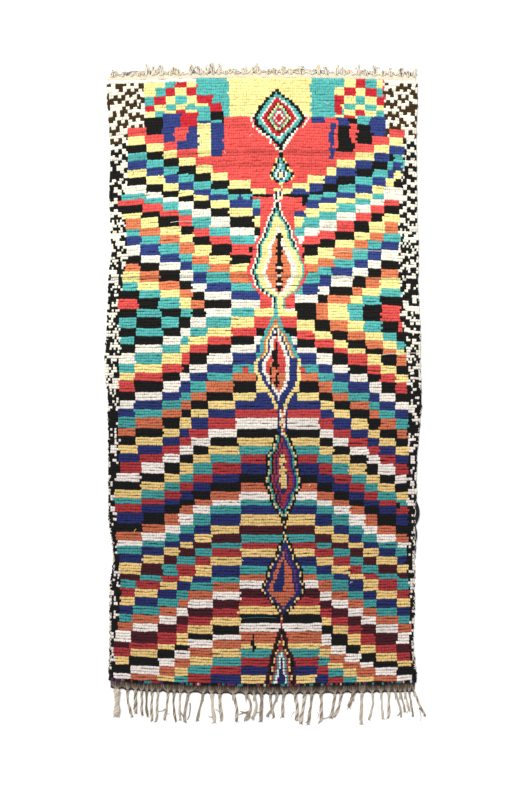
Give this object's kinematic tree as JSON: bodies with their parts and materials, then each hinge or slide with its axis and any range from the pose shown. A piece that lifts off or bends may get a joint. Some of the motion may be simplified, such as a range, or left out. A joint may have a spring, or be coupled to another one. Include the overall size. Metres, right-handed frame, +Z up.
{
  "type": "azilal rug",
  "caption": "Hand-knotted wool rug lying flat, with ribbed pile rows, a heading strip of short curled locks and a warp band with a tassel fringe.",
  "frame": {"origin": "the middle of the flat underside of the whole rug, fringes included, on the floor that it rests on", "axes": "+X across the rug, +Y along it towards the heading with the curled locks, +Z up, out of the pile"},
  "size_m": [1.51, 3.127, 0.0159],
  "materials": {
    "wool_pile": "short cut wool pile in dyed rows of knots, matt",
    "cream_heading": "undyed cream wool, plain woven strip with curled locks, matt",
    "warp_fringe": "undyed grey-brown twisted warp yarn, matt"
  },
  "bodies": {
    "root": {"rug_pile": "wool_pile", "top_fringe": "cream_heading", "bottom_fringe": "warp_fringe"}
  },
  "joints": []
}
